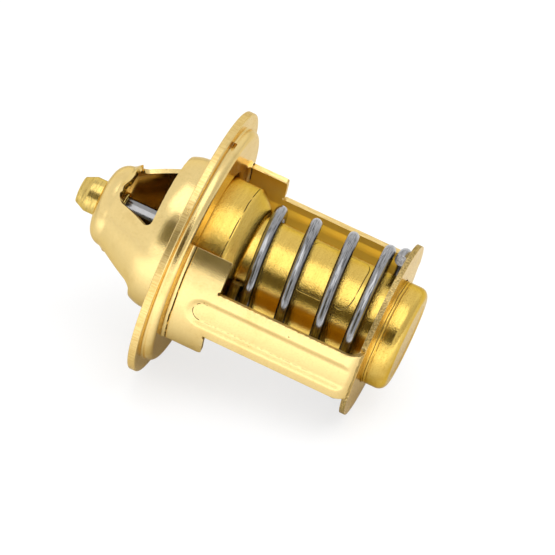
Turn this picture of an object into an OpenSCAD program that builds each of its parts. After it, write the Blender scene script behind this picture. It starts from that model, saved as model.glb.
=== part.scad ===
// Coolant thermostat insert of a heavy engine, with a sleeve valve and a wax element.
// X is the axis of the valve and points from the nose to the cage end.
// The origin is the centre of the flange, in its nose side face. Millimetres.

/* [Flange] */
// Diameter of the flange that the housing clamps
flange_d = 67; // [64:0.5:72]
// Thickness of the flange rim
rim_t = 1.9; // [1.6:0.1:2.2]
// Diameter of the raised boss on the cage side
boss_d = 59.6; // [58:0.2:61]
// Distance from the nose side face to the top of the boss
boss_x = 4.4; // [4:0.1:4.8]
// Radius that rounds the shoulder of the boss
boss_round = 1.6; // [0.8:0.1:1.9]
// Bore of the boss round the valve cup
boss_bore_d = 38.4; // [37.6:0.2:40]
// Distance from the nose side face to the valve seat
seat_x = 2.2; // [1.9:0.1:2.6]
// Diameter of the hole inside the valve seat
seat_hole_d = 34.4; // [33.6:0.2:35.2]
// Width of the vent slot at the foot of the boss
vent_w = 3.4; // [2:0.2:5]
// Height of the vent slot
vent_h = 0.8; // [0.5:0.1:1]

/* [Bonnet] */
// Thickness of the bonnet sheet
bonnet_t = 1.2; // [0.9:0.1:1.3]
// Distance from the flange face to the crown of the bonnet
bonnet_h = 23.15; // [22.5:0.05:24]
// Radius that rounds the crown into the side
crown_round = 4; // [3:0.1:4.4]
// Diameter of the bonnet where its foot meets the flange
foot_d = 39.1; // [38.8:0.1:39.6]
// Diameter of the collar that sits in the flange recess
collar_d = 56.4; // [52:0.2:56.8]
// Distance from the flange face to the near edge of the windows
window_near = 7.4; // [7:0.1:9]
// Distance from the flange face to the far edge of the windows
window_far = 17.6; // [15:0.1:18]
// Width of the two posts between the windows
post_w = 14; // [12:0.5:16]
// Widening of each side of a post towards the flange
post_flare = 1.2; // [0:0.1:2]
// Turn of the windows against the cage legs
bonnet_turn = -4.5; // [-8:0.5:8]

/* [Nose] */
// Diameter of the nose bush
bush_d = 8.8; // [8.4:0.1:9.4]
// Distance from the flange face to the tip of the nose
nose_h = 28.6; // [27.6:0.1:29.6]
// Length of the long chamfer on the tip
tip_len = 2.6; // [1:0.1:3]
// Diameter of the flat end of the tip
tip_d = 6.4; // [5.6:0.1:7]
// Distance from the flange face to the inner end of the bush
bush_end = 17.2; // [16:0.1:19]

/* [Cage] */
// Thickness of the cage sheet
cage_t = 1.3; // [1:0.1:1.6]
// Radius of the outside of the legs
leg_r = 24.3; // [23.8:0.1:24.6]
// Width of each leg
leg_w = 13; // [11:0.5:15]
// Width of the wings at the root of each leg
wing_w = 27.8; // [24:0.2:30]
// Distance from the flange face to the end of the wings
wing_x = 14.6; // [12:0.2:16]
// Height of the lugs that the legs are welded to
lug_h = 0.9; // [0.6:0.1:1.2]
// Distance from the flange face to the outside of the end disc
disc_x = 50.8; // [50.2:0.1:51.4]
// Diameter of the end disc
disc_d = 43.6; // [42:0.2:45]
// Outer radius of the bend between leg and end disc
bend_r = 3.8; // [3:0.1:4.4]
// Width of the floor of the pressed rib
rib_w = 4.3; // [3.5:0.1:5]
// Depth of the pressed rib
rib_depth = 0.9; // [0.5:0.1:1]
// Distance that the rib reaches in between the wings
rib_reach = 2.3; // [1.6:0.1:3]

/* [Valve] */
// Diameter of the valve cup
cup_d = 36.6; // [36:0.1:36.8]
// Thickness of the cup sheet
cup_t = 1.2; // [0.8:0.1:1.3]
// Distance from the flange face to the outside of the cup floor
cup_x = 14.9; // [14.5:0.1:15.2]
// Distance that the conical shoulder takes off the cup radius
shoulder = 3.8; // [3:0.1:4]

/* [Wax element] */
// Diameter of the capsule
capsule_d = 26; // [25:0.1:26.2]
// Wall of the capsule
capsule_wall = 1.5; // [1:0.1:1.8]
// Distance from the flange face to the closed end of the capsule
capsule_x = 56.8; // [55:0.1:60]
// Radius that rounds the closed end
end_round = 2.3; // [1.6:0.1:2.8]
// Diameter of the piston rod
rod_d = 6.4; // [6:0.1:6.6]
// Distance from the flange face to the inner end of the piston rod
rod_x = 36; // [30:0.5:40]
// Play of the capsule in the end disc, on the radius
guide_play = 0.3; // [0.2:0.05:0.4]

/* [Spring] */
// Diameter of the spring wire
wire_d = 2.5; // [2.2:0.1:2.6]
// Mean radius of the closed coil on the cup
coil_r = 15.2; // [14.9:0.1:15.6]
// Growth of the mean radius with each turn
coil_growth = 0.82; // [0.4:0.02:0.9]
// Turns between the two closed coils
active_turns = 3.1; // [3:0.1:4]

/* [Hidden] */

far = 80;
round_fn = 96;
wire_sides = 14;
rings_per_turn = 30;

pale_gold = [0.88, 0.76, 0.47];
brass = [0.83, 0.67, 0.27];
steel = [0.62, 0.63, 0.65];
rubber = [0.12, 0.12, 0.12];
plastic_white = [0.9, 0.9, 0.86];
wax = [0.72, 0.47, 0.3];

film = 0.05;
boss_r = boss_d / 2;
seam_x = boss_x + lug_h;
leg_in = leg_r - cage_t;
disc_in = disc_x - cage_t;
capsule_r = capsule_d / 2;
rod_r = rod_d / 2;
bush_r = bush_d / 2;
cup_r = cup_d / 2;
wire_r = wire_d / 2;

// The nose holds the rod against its closed end
nose_wall = 1.6;
rod_start = nose_wall - nose_h;
bush_step = 1;
bush_step_h = 1.4;
rod_taper = 4;
rod_point_r = 1.4;

// The crimped head of the capsule, which carries the cup
cup_floor = cup_x - cup_t;
head_r = capsule_r + 1.6;
head_x = 5.4;
head_lip = 1.2;
lip_r = head_r - 3.4;
head_pocket = head_r - 1.2;
head_play = 0.15;
head_top_r = min(head_r - 0.2, cup_r - shoulder - cup_t * tan(22.5) - head_play);
bore_top = cup_floor - 1.5;

// The sealed guide of the rod, inside the head
guide_flange = 2.6;
guide_flange_r = head_pocket - film;
guide_neck_r = 7;
guide_top = -3;
guide_chamfer = 1;
backup_t = 1.15;
backup_r = 6;
boot_top = head_x + head_lip + guide_flange;
boot_r = 6.5;
boot_play = 0.1;
boot_gap = 0.5;
boot_floor = 3;
boot_end = rod_x + boot_floor;

// Plane geometry: a corner is [x, radius from the axis, rounding]
function flat(p) = [p[0], p[1]];
function unit(v) = v / norm(v);
function spun(v, a) = [v.x * cos(a) - v.y * sin(a), v.x * sin(a) + v.y * cos(a)];

// Points of the arc that rounds corner b between a and c
function arc_at(a, b, c, r) =
    let (
        u = unit(a - b),
        v = unit(c - b),
        half = acos(u * v) / 2,
        centre = b + unit(u + v) * r / sin(half),
        start = b + u * r / tan(half) - centre,
        finish = b + v * r / tan(half) - centre,
        sweep = atan2(cross(start, finish), start * finish),
        steps = max(2, ceil(abs(sweep) / 12))
    )
    [for (i = [0:steps]) centre + spun(start, sweep * i / steps)];

// Closed outline with its corners rounded
function rounded(path) =
    let (n = len(path))
    [for (i = [0:n - 1])
        each path[i][2] == 0
            ? [flat(path[i])]
            : arc_at(flat(path[(i + n - 1) % n]), flat(path[i]), flat(path[(i + 1) % n]), path[i][2])];

// Unit vector from the outer side of a sheet towards its inner side
function inward(a, b) = let (d = unit(flat(b) - flat(a))) [d.y, -d.x];

// Corner of the inner side that faces corner i of the outer side
function inner_corner(path, i, t) =
    let (
        last = len(path) - 1,
        n1 = inward(path[max(i - 1, 0)], path[max(i, 1)]),
        n2 = inward(path[min(i, last - 1)], path[min(i + 1, last)]),
        p = flat(path[i]) + (n1 + n2) * t / (1 + n1 * n2),
        turn = cross(n1, n2),
        r = path[i][2]
    )
    [p.x, p.y, r == 0 ? 0 : turn < 0 ? max(r - t, 0.1) : r + t];

// Closed section of a sheet whose outer side follows the path
function sheet(path, t) =
    concat(path, [for (i = [len(path) - 1:-1:0]) inner_corner(path, i, t)]);

// Solid of revolution about X; middle 90 is the +Y side
module revolve(path, half = 180, middle = 0) {
    rotate([0, 90, 0])
        rotate([0, 0, middle - half])
            rotate_extrude(angle = 2 * half, $fn = round_fn)
                polygon([for (p = rounded(path)) [p.y, p.x]]);
}

// Outline in X and Z, cut right through along Y
module through_y(path) {
    rotate([90, 0, 0])
        linear_extrude(height = far, center = true)
            polygon(rounded(path));
}

module both_sides() {
    children();
    mirror([0, 1, 0]) children();
}

module bonnet() {
    crown_x = -bonnet_h;
    foot_r = foot_d / 2;
    outer = [
        [crown_x, bush_r + film, 0],
        [crown_x, bush_r + 1.2, 0.4],
        [crown_x + 1.15, 10.2, crown_round],
        [crown_x + 4.35, 10.75, 2],
        [-6.1, foot_r, 9],
        [0, foot_r, 0.6],
        [0, collar_d / 2, 0]
    ];
    window = [
        [-window_far, post_w / 2, 1.2],
        [-window_near, post_w / 2 + post_flare, 2.2],
        [-window_near, far, 0],
        [-window_far, far, 0]
    ];
    color(pale_gold)
        rotate([bonnet_turn, 0, 0])
            difference() {
                revolve(sheet(outer, bonnet_t));
                through_y(window);
                mirror([0, 0, 1]) through_y(window);
            }
}

module nose_bush() {
    inside_x = -bonnet_h + bonnet_t;
    section = [
        [-nose_h, 0, 0],
        [-nose_h, tip_d / 2, 0.3],
        [-nose_h + tip_len, bush_r, 0.5],
        [inside_x, bush_r, 0],
        [inside_x, bush_r + bush_step, 0],
        [inside_x + bush_step_h, bush_r + bush_step, 0.3],
        [inside_x + bush_step_h, bush_r - 0.3, 0],
        [-bush_end, bush_r - 0.3, 0.3],
        [-bush_end, rod_r, 0],
        [rod_start, rod_r, 0],
        [rod_start, 0, 0]
    ];
    color(brass) revolve(section);
}

module piston_rod() {
    section = [
        [rod_start, 0, 0],
        [rod_start, rod_r, 0],
        [rod_x - rod_taper, rod_r, 0.6],
        [rod_x, rod_point_r, 0.5],
        [rod_x, 0, 0]
    ];
    color(steel) revolve(section);
}

module flange_ring() {
    flange_r = flange_d / 2;
    bore_r = boss_bore_d / 2;
    recess = collar_d / 2 + 0.1;
    section = [
        [0, flange_r, 0.25],
        [rim_t, flange_r, 0.25],
        [rim_t, boss_r, 0.5],
        [boss_x, boss_r, boss_round],
        [boss_x, bore_r, 0.9],
        [seat_x, bore_r, 0],
        [seat_x, seat_hole_d / 2, 0.3],
        [bonnet_t, seat_hole_d / 2, 0],
        [bonnet_t, recess, 0],
        [0, recess, 0]
    ];
    lug = [
        [boss_x - 1, leg_r + 2, 0],
        [boss_x, leg_r + 2, 0],
        [boss_x, leg_r, 0.7],
        [seam_x, leg_r, 0.15],
        [seam_x, leg_in, 0.15],
        [boss_x, leg_in, 0.7],
        [boss_x, leg_in - 2, 0],
        [boss_x - 1, leg_in - 2, 0]
    ];
    lug_half = asin(wing_w / 2 / leg_r);
    color(pale_gold)
        difference() {
            union() {
                revolve(section);
                revolve(lug, lug_half, 90);
                revolve(lug, lug_half, 270);
            }
            vent_slot();
        }
}

// Oblong slot in the side of the boss, on the +Z side
module vent_slot() {
    translate([rim_t + vent_h / 2 + 0.1, 0, boss_r - 0.9])
        for (end = [-1, 1])
            translate([0, end * (vent_w - vent_h) / 2, 0])
                cylinder(h = 3, r = vent_h / 2, $fn = 24);
    translate([rim_t + 0.1, -(vent_w - vent_h) / 2, boss_r - 0.9])
        cube([vent_h, vent_w - vent_h, 3]);
}

module cage() {
    leg = [
        [seam_x, leg_r, 0],
        [disc_x, leg_r, bend_r],
        [disc_x, capsule_r + guide_play + 2, 0]
    ];
    plan = [
        [seam_x, -wing_w / 2, 0],
        [wing_x, -wing_w / 2, 1.2],
        [wing_x, -leg_w / 2, 0],
        [far, -leg_w / 2, 0],
        [far, leg_w / 2, 0],
        [wing_x, leg_w / 2, 0],
        [wing_x, wing_w / 2, 1.2],
        [seam_x, wing_w / 2, 0]
    ];
    color(pale_gold)
        difference() {
            union() {
                intersection() {
                    revolve(sheet(leg, cage_t));
                    through_y(plan);
                }
                translate([disc_in, 0, 0])
                    rotate([0, 90, 0])
                        cylinder(h = cage_t, d = disc_d, $fn = round_fn);
                both_sides() rib(leg_r - rib_depth - cage_t, disc_in + 0.5);
            }
            both_sides() rib(leg_r - rib_depth, far);
            both_sides() corner_reliefs();
            translate([disc_in - 1, 0, 0])
                rotate([0, 90, 0])
                    cylinder(h = cage_t + 2, r = capsule_r + guide_play, $fn = round_fn);
        }
}

// Long press of the leg: sloping sides, a flat floor at height y and one round end
module rib(y, end_x) {
    start_x = wing_x - rib_reach;
    rise = cage_t + 0.1;
    slope = 1.5;
    floor_half = rib_w / 2;
    top_half = floor_half + rise * slope;
    section = [[y, -floor_half], [y + rise, -top_half], [y + rise, top_half], [y, floor_half]];
    translate([start_x, 0, 0])
        rotate([90, 0, 90])
            linear_extrude(height = end_x - start_x)
                polygon(section);
    translate([start_x, y, 0])
        rotate([-90, 0, 0])
            cylinder(h = rise, r1 = floor_half, r2 = top_half, $fn = 48);
}

// Relief holes where the leg leaves the wings and where it bends into the disc
module corner_reliefs() {
    hole = 0.55;
    for (side = [-1, 1]) {
        translate([wing_x + 0.1, leg_in - 6, side * (leg_w / 2 + 0.15)])
            rotate([-90, 0, 0])
                cylinder(h = 8, r = hole, $fn = 24);
        translate([disc_in - 4, leg_r - bend_r - 0.1, side * (leg_w / 2 + 0.35)])
            rotate([0, 90, 0])
                cylinder(h = 8, r = hole, $fn = 24);
    }
}

module valve_cup() {
    outer = [
        [seat_x + film, cup_r, 0],
        [cup_x - shoulder, cup_r, 1.5],
        [cup_x, cup_r - shoulder, 1.3],
        [cup_x, capsule_r + film, 0]
    ];
    color(brass) revolve(sheet(outer, cup_t));
}

module capsule() {
    inner_r = capsule_r - capsule_wall;
    section = [
        [head_x, lip_r, 0],
        [head_x, head_r, 1],
        [cup_floor - head_r + head_top_r, head_r, 0],
        [cup_floor, head_top_r, 0],
        [cup_floor, capsule_r, 0],
        [capsule_x, capsule_r, end_round],
        [capsule_x, 0, 0],
        [capsule_x - capsule_wall, 0, 0],
        [capsule_x - capsule_wall, inner_r, 1],
        [bore_top, inner_r, 0],
        [bore_top, head_pocket, 0],
        [head_x + head_lip, head_pocket, 0],
        [head_x + head_lip, lip_r, 0]
    ];
    color(brass) revolve(section);
}

module guide_bush() {
    flange_x = head_x + head_lip;
    section = [
        [guide_top, rod_r + film, 0],
        [guide_top, guide_neck_r - guide_chamfer, 0],
        [guide_top + guide_chamfer, guide_neck_r, 0],
        [flange_x - 2, guide_neck_r, 1],
        [flange_x, lip_r - 0.6, 0],
        [flange_x, guide_flange_r, 0.3],
        [boot_top, guide_flange_r, 0],
        [boot_top, backup_r, 0],
        [boot_top - backup_t, backup_r, 0],
        [boot_top - backup_t, rod_r + film, 0]
    ];
    color(brass) revolve(section);
}

module backup_ring() {
    section = [
        [boot_top - backup_t, rod_r + film, 0],
        [boot_top - backup_t, backup_r - film, 0],
        [boot_top, backup_r - film, 0],
        [boot_top, rod_r + film, 0]
    ];
    color(plastic_white) revolve(section);
}

module rubber_boot() {
    bore = rod_r + boot_play;
    section = [
        [boot_top, bore, 0],
        [boot_top, guide_flange_r, 0],
        [bore_top, guide_flange_r, 0],
        [bore_top, boot_r, 0],
        [boot_end, boot_r, boot_floor],
        [boot_end, 0, 0],
        [rod_x + boot_gap, 0, 0],
        [rod_x + boot_gap, rod_point_r + 0.2, 0],
        [rod_x + boot_gap - rod_taper + boot_play, bore, 0]
    ];
    color(rubber) revolve(section);
}

module wax_charge() {
    inner_r = capsule_r - capsule_wall - film;
    inner_x = capsule_x - capsule_wall - film;
    section = [
        [bore_top, boot_r + film, 0],
        [bore_top, inner_r, 0],
        [inner_x, inner_r, 1],
        [inner_x, 0, 0],
        [boot_end + film, 0, 0],
        [boot_end + film, boot_r + film, boot_floor]
    ];
    color(wax) revolve(section);
}

// Spring: k counts turns, 0 is where the wire starts to rise and active_turns where it lies flat again
nudge = 0.002;
ease = 0.14;
closed_start = 0.704;
closed_end = 0.975;
closed_rise = 2.65;
crest_angle = 53.6;
k_end = active_turns + closed_end;
first_x = cup_x + cup_r - shoulder + (wire_r + film) * sqrt(2) - coil_r;
last_x = disc_in - wire_r;
active_pitch = (last_x - closed_rise - first_x) / active_turns;
closed_pitch = closed_rise / closed_end;
function eased(u) = (u + sqrt(u * u + ease * ease)) / 2;
function coil_x(k) =
    first_x + active_pitch * eased(k) - (active_pitch - closed_pitch) * eased(k - active_turns);
function coil_radius(k) = coil_r + coil_growth * eased(k);
function coil_angle(k) = crest_angle + 360 * k;
function around(k) = [0, cos(coil_angle(k)), sin(coil_angle(k))];
function coil_point(k) = [coil_x(k), 0, 0] + coil_radius(k) * around(k);
function wire_ring(k) =
    let (
        out = around(k),
        ahead = unit(coil_point(k + nudge) - coil_point(k - nudge)),
        side = unit(cross(ahead, out)),
        up = cross(side, ahead)
    )
    [for (i = [0:wire_sides - 1])
        let (a = 360 * i / wire_sides)
        coil_point(k) + wire_r * (cos(a) * up + sin(a) * side)];

module spring() {
    turns = closed_start + k_end;
    n = ceil(turns * rings_per_turn);
    s = wire_sides;
    points = [for (j = [0:n]) each wire_ring(turns * j / n - closed_start)];
    walls = [for (j = [0:n - 1], i = [0:s - 1])
        [j * s + i, j * s + (i + 1) % s, (j + 1) * s + (i + 1) % s, (j + 1) * s + i]];
    caps = [[for (i = [s - 1:-1:0]) i], [for (i = [0:s - 1]) n * s + i]];
    color(steel) polyhedron(points, concat(walls, caps));
}

bonnet();
nose_bush();
piston_rod();
flange_ring();
cage();
spring();
valve_cup();
capsule();
guide_bush();
backup_ring();
rubber_boot();
wax_charge();
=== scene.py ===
"""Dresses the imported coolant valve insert: brass stampings, turned brass, spring wire and a studio.

Lengths of the pieces are millimetres in the row frame: X is the valve's axis, from the nose to
the cage end. Every piece is scaled to metres when it is finished. The studio is in metres.
"""

import math

import bmesh
import bpy
from mathutils import Matrix, Vector, noise


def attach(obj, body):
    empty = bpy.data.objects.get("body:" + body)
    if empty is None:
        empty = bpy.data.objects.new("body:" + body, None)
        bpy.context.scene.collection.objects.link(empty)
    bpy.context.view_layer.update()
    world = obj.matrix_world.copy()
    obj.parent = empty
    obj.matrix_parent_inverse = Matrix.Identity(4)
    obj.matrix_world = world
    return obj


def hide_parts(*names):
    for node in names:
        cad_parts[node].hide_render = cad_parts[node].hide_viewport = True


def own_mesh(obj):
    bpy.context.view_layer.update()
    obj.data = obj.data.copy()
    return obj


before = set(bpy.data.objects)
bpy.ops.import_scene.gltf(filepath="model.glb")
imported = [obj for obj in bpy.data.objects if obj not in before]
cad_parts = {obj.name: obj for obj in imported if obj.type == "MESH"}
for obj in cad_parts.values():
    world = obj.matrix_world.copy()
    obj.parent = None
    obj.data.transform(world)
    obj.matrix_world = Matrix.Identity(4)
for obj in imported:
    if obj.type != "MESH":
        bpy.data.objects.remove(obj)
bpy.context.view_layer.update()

bl_info = {
    "name": "Coolant Valve Insert",
    "version": (1, 0, 0),
    "blender": (4, 5, 0),
    "location": "3D View > Sidebar > Valve",
    "description": "Builds the brass, steel and studio of a coolant valve insert round its CAD frame",
    "category": "Add Mesh",
}

MM = 0.001
ROUND_STEPS = 240
SHARP_ANGLE = 35

# Flange
FLANGE_R = 33.5
RIM_T = 1.9
BOSS_X = 4.4
BOSS_R = 29.8
BORE_R = 19.2
SEAT_X = 2.2
SEAT_HOLE_R = 17.2
LUG_STEP = 1.3
VENT_W = 3.4
VENT_H = 0.8

# Bonnet
BONNET_T = 1.2
BONNET_TURN = -4.5
BONNET_CELL = 0.6
CROWN_X = -23.15
FOOT_R = 19.25
COLLAR_R = 28.2
# Outer face from the hole in the crown to the collar: x, radius from the axis and rounding
BONNET_PATH = (
    (CROWN_X, 4.45, 0), (CROWN_X, 5.4, 0.4), (CROWN_X + 1.15, 9.75, 4.0), (CROWN_X + 4.35, 10.3, 2.0),
    (-6.1, FOOT_R, 9.0), (0, FOOT_R, 0.9), (0, COLLAR_R, 0),
)
WINDOW_NOSE_X = -17.6
WINDOW_FLANGE_X = -7.4
WINDOW_NOSE_ROUND = 1.2
WINDOW_FLANGE_ROUND = 2.2
POST_HALF = 7.0
POST_FLARE = 1.2
# Torn edge of the windows beside the near and the far post: angle from the post's middle and shift
# along X. The upper window has all of it, the lower one a share.
TEAR_NEAR = ((38, -1.1), (44, -1.25), (49, -0.7), (52, -0.2), (58, -0.35), (66, 0.15), (78, 0.5),
             (90, 0.4))
TEAR_FAR = ((38, -0.6), (46, -0.75), (51, 0.0), (54, -0.8), (62, -0.25), (70, 0.5), (74, 0.15),
            (90, 0.4))
LOWER_TEAR = 0.4
LOWER_FLARE = 0.3
# The torn sheet stands proud from this angle on, fully after FLARE_EASE degrees more, and over
# FLARE_WIDTH beside the edge. Its wall thins out there to a share of the sheet's.
FLARE_START = 43
FLARE_EASE = 16
FLARE_WIDTH = 1.4
TORN_WALL = 0.3
# Millimetres that stand for a degree while the bonnet is cut out flat
FLAT_DEGREE = 0.2

# Cage
CAGE_T = 1.3
LEG_R = 24.3
LEG_HALF = 6.5
WING_HALF = 13.9
WING_X = 14.6
SEAM_X = 5.3
DISC_X = 50.8
DISC_R = 21.8
DISC_HOLE_R = 13.3
BEND_R = 3.8
RIB_START_X = 12.3
# The blank: p runs along the strap from the disc's centre, q across it
FLAT_END = LEG_R - BEND_R
BEND_END = FLAT_END + BEND_R * math.pi / 2
LEG_P = BEND_END + DISC_X - BEND_R
WING_P = LEG_P - WING_X
ROOT_P = LEG_P - SEAM_X
RIB_P = LEG_P - RIB_START_X
# Relief notches at the disc and at the wing: p, or p from the wing, and distance outside the leg's edge
DISC_NOTCH = ((20.3, 0.75), (19.95, 0.45), (20.0, 0.1), (20.5, 0.0))
WING_NOTCH = ((-0.3, 0.0), (0.15, -0.25), (0.5, 0.1), (0.4, 0.55), (0.0, 0.8))
# Rounding of the wings' corners on the upper and on the lower side
UPPER_CORNER = 0.5
LOWER_CORNER = 1.1

# Valve and wax element
CUP_R = 18.3
CUP_T = 1.2
CUP_X = 14.9
CUP_SHOULDER = 3.8
CAPSULE_R = 13.0
CAPSULE_T = 1.5
CAPSULE_X = 56.8
HEAD_X = 5.4
HEAD_R = CAPSULE_R + 1.6
HEAD_T = 1.2
LIP_R = HEAD_R - 3.4
GROOVE_X = 51.75
GROOVE_HALF = 0.15
DISH_R = 9.4
DISH_DEPTH = 0.12

# Nose bush and rod
NOSE_X = -28.6
NOSE_R = 4.4
NOSE_TIP_R = 3.2
NOSE_END_X = -17.2
ROD_R = 3.2
ROD_X = -27.0
ROD_END_X = 36.0

# Spring: the ends are closed over CLOSED_START and CLOSED_END turns, and the last one climbs CLOSED_RISE
ACTIVE_TURNS = 3.1
CLOSED_START = 0.704
CLOSED_END = 0.975
CLOSED_RISE = 2.8
CREST_ANGLE = 53.6
FIRST_COIL_X = 16.32
COIL_R = 15.2
# Turns over which the pitch changes
PITCH_EASE = 0.14
WIRE_SIDES = 28
WIRE_RINGS = 84

# Studio, in metres
FLOOR_SIZE = 3.0
FLOOR_GAP = 0.0001
LAMP_AIM = Vector((0.015, 0, 0))
FLAG_AIM = Vector((0.02, 0, 0))
FLAG_DISTANCE = 0.4

# Colours of darker brass for the lines, grain and patches, of the painted bounce light in the cage, of the
# painted shade in the bonnet, of dark marks with painted shade, and of the dark cards
DARKER_BRASS = (0.70, 0.58, 0.34)
PAINTED_BOUNCE_ORANGE = (1.0, 0.60, 0.05)
PAINTED_SHADE_BROWN = (0.62, 0.32, 0.04)
DARK_MARKS_AND_SHADE = (0.035, 0.02, 0.006)
CARD = (0.06, 0.045, 0.015)
CARD_AT_NOSE = (0.24, 0.22, 0.14)


class ValveSizes(bpy.types.PropertyGroup):
    """Sizes of the dressed pieces that the CAD frame leaves open"""

    rib_depth: bpy.props.FloatProperty(
        name="Rib Depth", description="How deep the rib is pressed into each cage leg, in millimetres",
        default=0.8, min=0.3, max=1.2)
    rib_floor: bpy.props.FloatProperty(
        name="Rib Floor", description="Half of the width of the rib's flat floor, in millimetres",
        default=2.1, min=1.2, max=3.0)
    rib_slope: bpy.props.FloatProperty(
        name="Rib Slope", description="Width of the soft slope beside the rib's floor, in millimetres",
        default=2.2, min=0.6, max=2.4)
    edge_round: bpy.props.FloatProperty(
        name="Edge Rounding", description="Radius on the cut edges of the cage, in millimetres",
        default=0.2, min=0.02, max=0.3)
    tear: bpy.props.FloatProperty(
        name="Torn Edge", description="How far the pierced window edge wanders, with 1 as on the real piece",
        default=1.0, min=0.0, max=1.3)
    wire_diameter: bpy.props.FloatProperty(
        name="Wire Diameter", description="Diameter of the spring wire, in millimetres",
        default=2.9, min=2.2, max=3.1)
    coil_growth: bpy.props.FloatProperty(
        name="Coil Growth", description="Growth of the spring's radius with each turn, in millimetres",
        default=0.82, min=0.4, max=0.9)


class ValveFinishes(bpy.types.PropertyGroup):
    """Colours and surface qualities of the valve"""

    stamped: bpy.props.FloatVectorProperty(
        name="Stamped Brass", description="Colour of the pale bright-dipped sheet", subtype="COLOR",
        size=3, min=0, max=1, default=(0.88, 0.67, 0.29))
    drawn: bpy.props.FloatVectorProperty(
        name="Drawn Brass", description="Colour of the cup and the capsule", subtype="COLOR",
        size=3, min=0, max=1, default=(0.81, 0.57, 0.14))
    turned: bpy.props.FloatVectorProperty(
        name="Turned Brass", description="Colour of the nose bush", subtype="COLOR",
        size=3, min=0, max=1, default=(0.83, 0.63, 0.21))
    steel: bpy.props.FloatVectorProperty(
        name="Spring Steel", description="Colour of the drawn wire", subtype="COLOR",
        size=3, min=0, max=1, default=(0.39, 0.39, 0.40))
    rod: bpy.props.FloatVectorProperty(
        name="Rod Steel", description="Colour of the ground piston rod", subtype="COLOR",
        size=3, min=0, max=1, default=(0.31, 0.31, 0.32))
    tarnish: bpy.props.FloatVectorProperty(
        name="Tarnish", description="Colour of the dark specks", subtype="COLOR",
        size=3, min=0, max=1, default=(0.20, 0.12, 0.03))


class ValveStudio(bpy.types.PropertyGroup):
    """Camera and light"""

    camera_place: bpy.props.FloatVectorProperty(
        name="Camera Place", description="Where the camera stands", subtype="TRANSLATION",
        unit="LENGTH", size=3, default=(0.136703, -0.852632, 0.633884))
    camera_turn: bpy.props.FloatVectorProperty(
        name="Camera Turn", description="How the camera is turned", subtype="EULER",
        unit="ROTATION", size=3, default=(0.90479, -0.28649, 0.35140))
    camera_lens: bpy.props.FloatProperty(
        name="Camera Lens", description="Focal length of the long lens, in millimetres",
        default=294.15, min=50, max=1000)
    floor_tilt: bpy.props.FloatProperty(
        name="Floor Tilt", description="Slope of the floor under the lying valve", subtype="ANGLE",
        unit="ROTATION", default=math.radians(13.5))
    sky_level: bpy.props.FloatProperty(
        name="Sky Level", description="Brightness of the white surroundings", default=0.85, min=0, max=2)
    ceiling_level: bpy.props.FloatProperty(
        name="Ceiling Level", description="Brightness of the ceiling in reflections",
        default=0.92, min=0, max=2)
    fill_level: bpy.props.FloatProperty(
        name="Fill Level", description="Brightness of the lamp that lights the floor and matt pieces",
        default=3.0, min=0, max=8)
    lamp_level: bpy.props.FloatProperty(
        name="Lamp Level", description="Brightness of the overhead lamp's face", default=0.95, min=0, max=6)


# Outlines and solids

def rounded(corners, step=math.radians(9)):
    """Outline with rounded corners; a corner is (x, radius from the axis, rounding)."""
    points = []
    for i, (x, y, r) in enumerate(corners):
        b = Vector((x, y))
        if r == 0:
            points.append(b)
            continue
        u = (Vector(corners[i - 1][:2]) - b).normalized()
        v = (Vector(corners[(i + 1) % len(corners)][:2]) - b).normalized()
        half = u.angle(v) / 2
        centre = b + (u + v).normalized() * r / math.sin(half)
        start = b + u * r / math.tan(half) - centre
        end = b + v * r / math.tan(half) - centre
        sweep = math.atan2(start.cross(end), start.dot(end))
        count = max(3, math.ceil(abs(sweep) / step))
        for k in range(count + 1):
            a = sweep * k / count
            points.append(centre + Vector((
                start.x * math.cos(a) - start.y * math.sin(a),
                start.x * math.sin(a) + start.y * math.cos(a))))
    return points


def spun(corners, steps=ROUND_STEPS, half_angle=math.pi, middle=0.0):
    """Solid of revolution about X from a closed section."""
    bm = bmesh.new()
    points = rounded(corners)
    verts = [bm.verts.new((p.x, 0, max(p.y, 0))) for p in points]
    edges = []
    for i, v in enumerate(verts):
        w = verts[(i + 1) % len(verts)]
        if v.co.z > 1e-6 or w.co.z > 1e-6:
            edges.append(bm.edges.new((v, w)))
    full = half_angle >= math.pi - 1e-6
    if not full:
        bmesh.ops.contextual_create(bm, geom=edges)
        bmesh.ops.rotate(bm, cent=(0, 0, 0), verts=bm.verts,
                         matrix=Matrix.Rotation(-half_angle - math.pi / 2 + middle, 3, "X"))
    geom = bm.verts[:] + bm.edges[:] + bm.faces[:]
    bmesh.ops.spin(bm, geom=geom, cent=(0, 0, 0), axis=(1, 0, 0), angle=2 * half_angle,
                   steps=steps, use_merge=full, use_duplicate=False)
    bmesh.ops.remove_doubles(bm, verts=bm.verts, dist=1e-4)
    bmesh.ops.dissolve_degenerate(bm, edges=bm.edges, dist=1e-5)
    bmesh.ops.recalc_face_normals(bm, faces=bm.faces)
    return bm


def sliced(outline, cuts_u, cuts_v):
    """Flat blank with this outline, cut into small cells along the given lines."""
    bm = bmesh.new()
    bm.faces.new([bm.verts.new((u, v, 0)) for u, v in outline])
    for values, normal in ((cuts_u, (1, 0, 0)), (cuts_v, (0, 1, 0))):
        for value in values:
            bmesh.ops.bisect_plane(
                bm, geom=bm.verts[:] + bm.edges[:] + bm.faces[:], dist=1e-5,
                plane_co=tuple(value * n for n in normal), plane_no=normal)
    return bm


def stepped(lo, hi, step):
    """Even values from lo to hi, about step apart."""
    count = max(1, round(abs(hi - lo) / step))
    return [lo + (hi - lo) * i / count for i in range(count + 1)]


def ease(t):
    """Soft step from 0 to 1."""
    t = min(1.0, max(0.0, t))
    return t * t * (3 - 2 * t)


def between(knots, t):
    """Value at t on straight lines between (place, value) knots."""
    for (a, low), (b, high) in zip(knots, knots[1:]):
        if t <= b:
            return low + (high - low) * max(0.0, (t - a) / (b - a))
    return knots[-1][1]


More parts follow.
